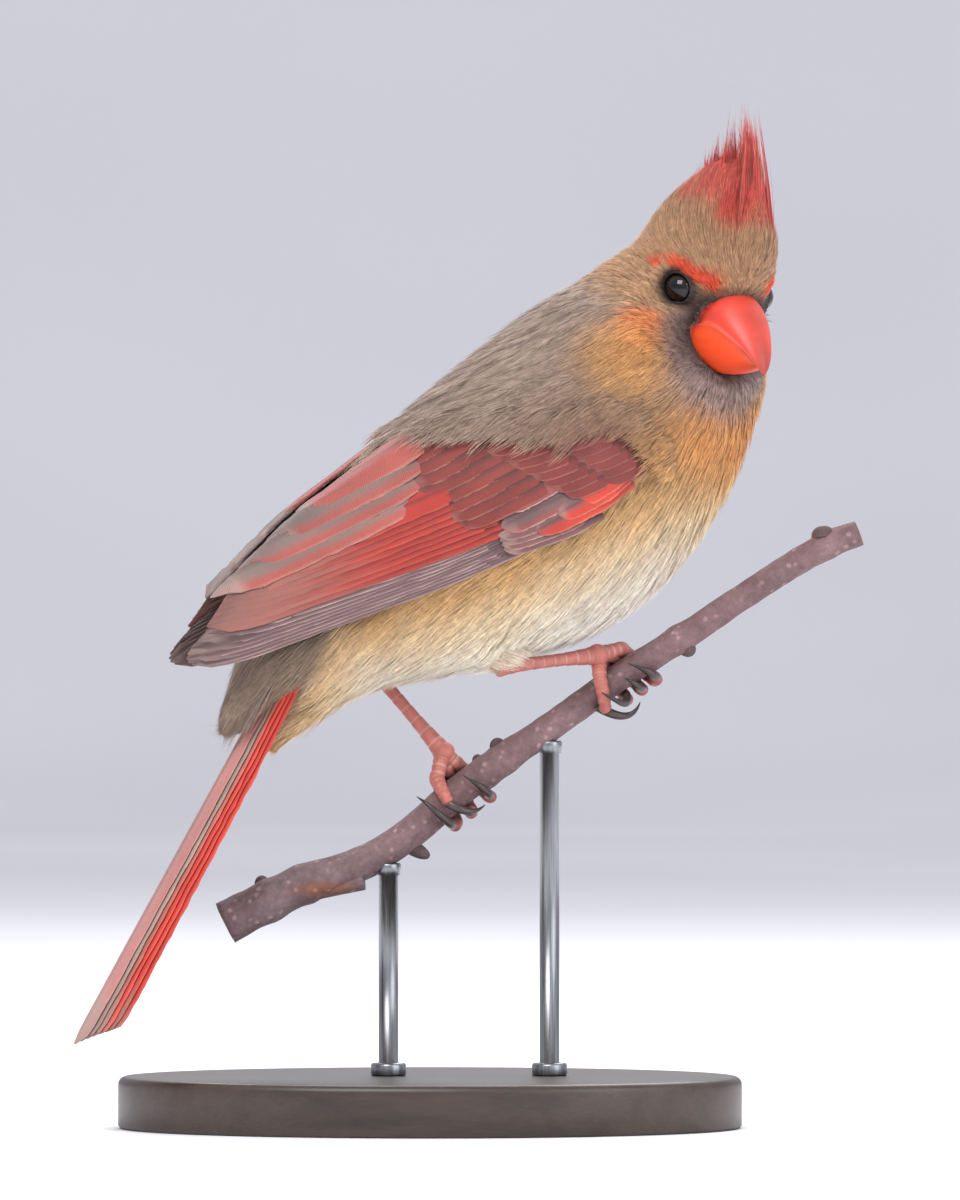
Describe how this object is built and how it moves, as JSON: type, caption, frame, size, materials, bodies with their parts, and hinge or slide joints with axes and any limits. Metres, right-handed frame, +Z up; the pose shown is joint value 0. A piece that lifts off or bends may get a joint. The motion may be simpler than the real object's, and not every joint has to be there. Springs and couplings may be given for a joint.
{
  "type": "northern cardinal model",
  "caption": "Life-size crested songbird gripping a cut length of branch, held by a flat display stand with short rods.",
  "frame": {"origin": "middle of the underside of the stand's base", "axes": "+Z up; the viewer of the picture stands on the -Y side, +X to that viewer's right, towards the bird's front"},
  "size_m": [0.1515, 0.08, 0.1983],
  "materials": {
    "body_plumage": "soft body feathers, buff and grey brown",
    "head_plumage": "soft short feathers with a red crest",
    "wing_feathers": "smooth vanes, dull red with brown",
    "tail_feathers": "smooth vanes, coral red and grey buff",
    "bill": "smooth horn, coral red",
    "eye": "wet dark brown",
    "leg_skin": "scaled skin, pinkish red",
    "claw": "dark horn",
    "bark": "thin purplish brown bark with pale specks",
    "stand_wood": "dark satin varnish",
    "stand_metal": "satin"
  },
  "bodies": {
    "root": {"head": "head_plumage", "neck": "body_plumage", "torso": "body_plumage", "rump": "body_plumage", "tail": "tail_feathers", "wing_right": "wing_feathers", "wing_left": "wing_feathers", "thigh_right": "body_plumage", "thigh_left": "body_plumage", "tarsus_right": "leg_skin", "tarsus_left": "leg_skin", "foot_right": "leg_skin", "foot_left": "leg_skin", "claw_right_1": "claw", "claw_right_2": "claw", "claw_right_3": "claw", "claw_right_4": "claw", "claw_left_1": "claw", "claw_left_2": "claw", "claw_left_3": "claw", "claw_left_4": "claw", "eye_right": "eye", "eye_left": "eye", "bill_upper": "bill", "bill_lower": "bill", "perch": "bark", "stand_base": "stand_wood", "stand_rod_1": "stand_metal", "stand_rod_2": "stand_metal"}
  },
  "joints": []
}
